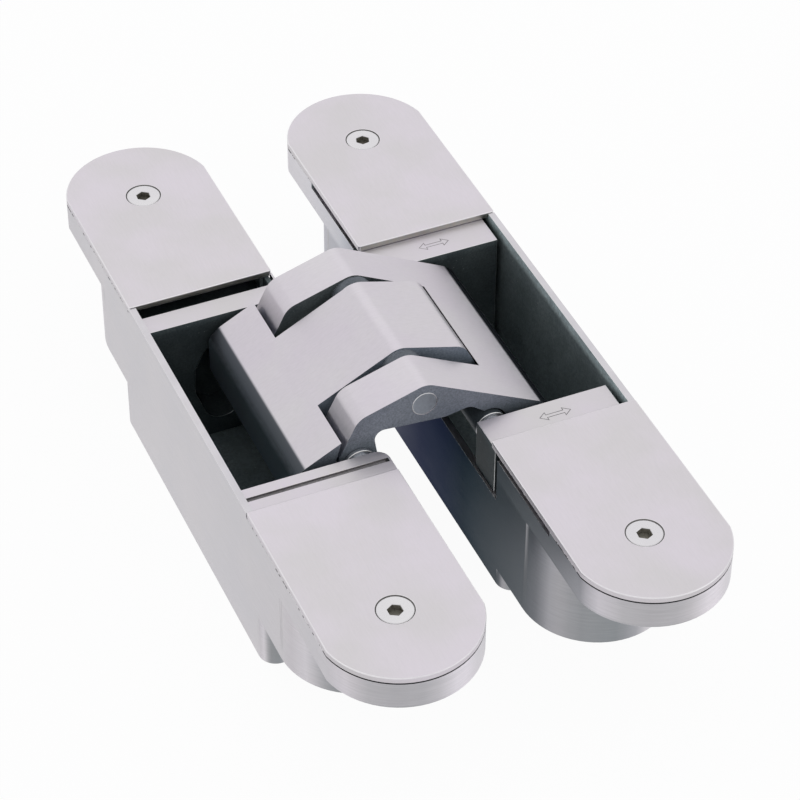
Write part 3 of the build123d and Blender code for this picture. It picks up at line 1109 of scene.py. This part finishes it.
# %% Engraved arrows
arrow_half = 3.75 * MM
head_from = 2.1 * MM
head_wide = 1.25 * MM
shaft_wide = 0.45 * MM
arrow_y = 32.7 * MM
line_wide = 0.16 * MM
line_lift = 0.004 * MM
quarter = [(arrow_half, 0), (head_from, head_wide), (head_from, shaft_wide)]
upper = quarter + [(-x, y) for x, y in reversed(quarter)]
outline = upper + [(x, -y) for x, y in reversed(upper[1:-1])]
for end, node in ((-1, "block_right_near"), (1, "block_right_far")):
    verts, faces = stroke([(half_x + x, end * arrow_y + y) for x, y in outline], line_wide,
                          tab_z + line_lift)
    mesh = bpy.data.meshes.new("arrow_" + node)
    mesh.from_pydata(verts, [], faces)
    mesh.materials.append(engraved)
    arrow = bpy.data.objects.new("arrow_" + node, mesh)
    bpy.context.scene.collection.objects.link(arrow)
    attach(arrow, body_of(node))
    print(arrow.name, "on", body_of(node))

# %% [markdown]
# ## Floor and light
#
# The photograph has a plain white ground and very soft light from above. The floor is white
# to the camera and in reflections, but keeps a trace of the hinge's shadow.


# %% What the camera and mirrors see
def seen_directly(tree):
    """1 for rays from the camera, from glossy metal or through glass, otherwise 0."""
    rays = add_node(tree, "ShaderNodeLightPath").outputs
    first = calculate(tree, "MAXIMUM", rays["Is Camera Ray"], rays["Is Glossy Ray"])
    return calculate(tree, "MAXIMUM", first, rays["Is Transmission Ray"])


print("direct rays: camera, glossy, transmission")


# %% Floor
def pale_ground(name, colour, whiteness):
    """A pale material. whiteness is how much of its shading the camera doesn't see."""
    material, tree, shader = new_material(name)
    shader.inputs["Base Color"].default_value = (*colour, 1)
    shader.inputs["Roughness"].default_value = 0.9
    shader.inputs["Specular IOR Level"].default_value = 0.1
    white = add_node(tree, "ShaderNodeEmission", {"Color": (1, 1, 1, 1), "Strength": 1.0})
    share = calculate(tree, "MULTIPLY", seen_directly(tree), whiteness)
    blend = add_node(tree, "ShaderNodeMixShader",
                     {0: share, 1: shader.outputs[0], 2: white.outputs[0]})
    tree.links.new(blend.outputs[0], tree.nodes["Material Output"].inputs["Surface"])
    return material


floor_reach = 6.0
floor_z = -0.2 * MM
floor_mesh = bpy.data.meshes.new("floor")
floor_mesh.from_pydata(
    [(-floor_reach, -floor_reach, floor_z), (floor_reach, -floor_reach, floor_z),
     (floor_reach, floor_reach, floor_z), (-floor_reach, floor_reach, floor_z)],
    [], [(0, 1, 2, 3)])
floor_mesh.materials.append(pale_ground("floor_pale", (0.93, 0.93, 0.935), whiteness=0.95))
floor = bpy.data.objects.new("floor", floor_mesh)
bpy.context.scene.collection.objects.link(floor)
print("floor reaches", floor_reach, "m each way")

# %% [markdown]
# ## The world and the lamps
#
# The world gives most of the light, evenly. The key lamp stands high behind the hinge and
# models the covers and arms. The fill lamp stands lower, at the near right, for the walls.

# %% World and lamps
world = bpy.data.worlds.new("studio")
bpy.context.scene.world = world
world.use_nodes = True
sky = world.node_tree
shown = add_node(sky, "ShaderNodeBackground", {"Color": (1, 1, 1, 1), "Strength": 1.0})
light = sky.nodes["Background"]
light.inputs["Color"].default_value = (0.97, 0.98, 1.0, 1)
light.inputs["Strength"].default_value = 0.77
pick = add_node(sky, "ShaderNodeMixShader",
                {0: seen_directly(sky), 1: light.outputs[0], 2: shown.outputs[0]})
sky.links.new(pick.outputs[0], sky.nodes["World Output"].inputs["Surface"])


def lamp(name, place, size, brightness):
    """A square soft lamp that faces the hinge. brightness 1 looks as white as the ground."""
    data = bpy.data.lights.new(name, "AREA")
    data.shape = "SQUARE"
    data.size = size
    data.energy = pi * size ** 2 * brightness
    thing = bpy.data.objects.new(name, data)
    thing.location = place
    thing.rotation_euler = (target - Vector(place)).to_track_quat("-Z", "Y").to_euler()
    bpy.context.scene.collection.objects.link(thing)
    print(name, "lamp is", round((target - thing.location).length, 2), "m away")


lamp("key", place=(0.3, 1.2, 1.4), size=1.3, brightness=0.17)
lamp("fill", place=(1.1, -1.0, 0.55), size=0.8, brightness=0.45)
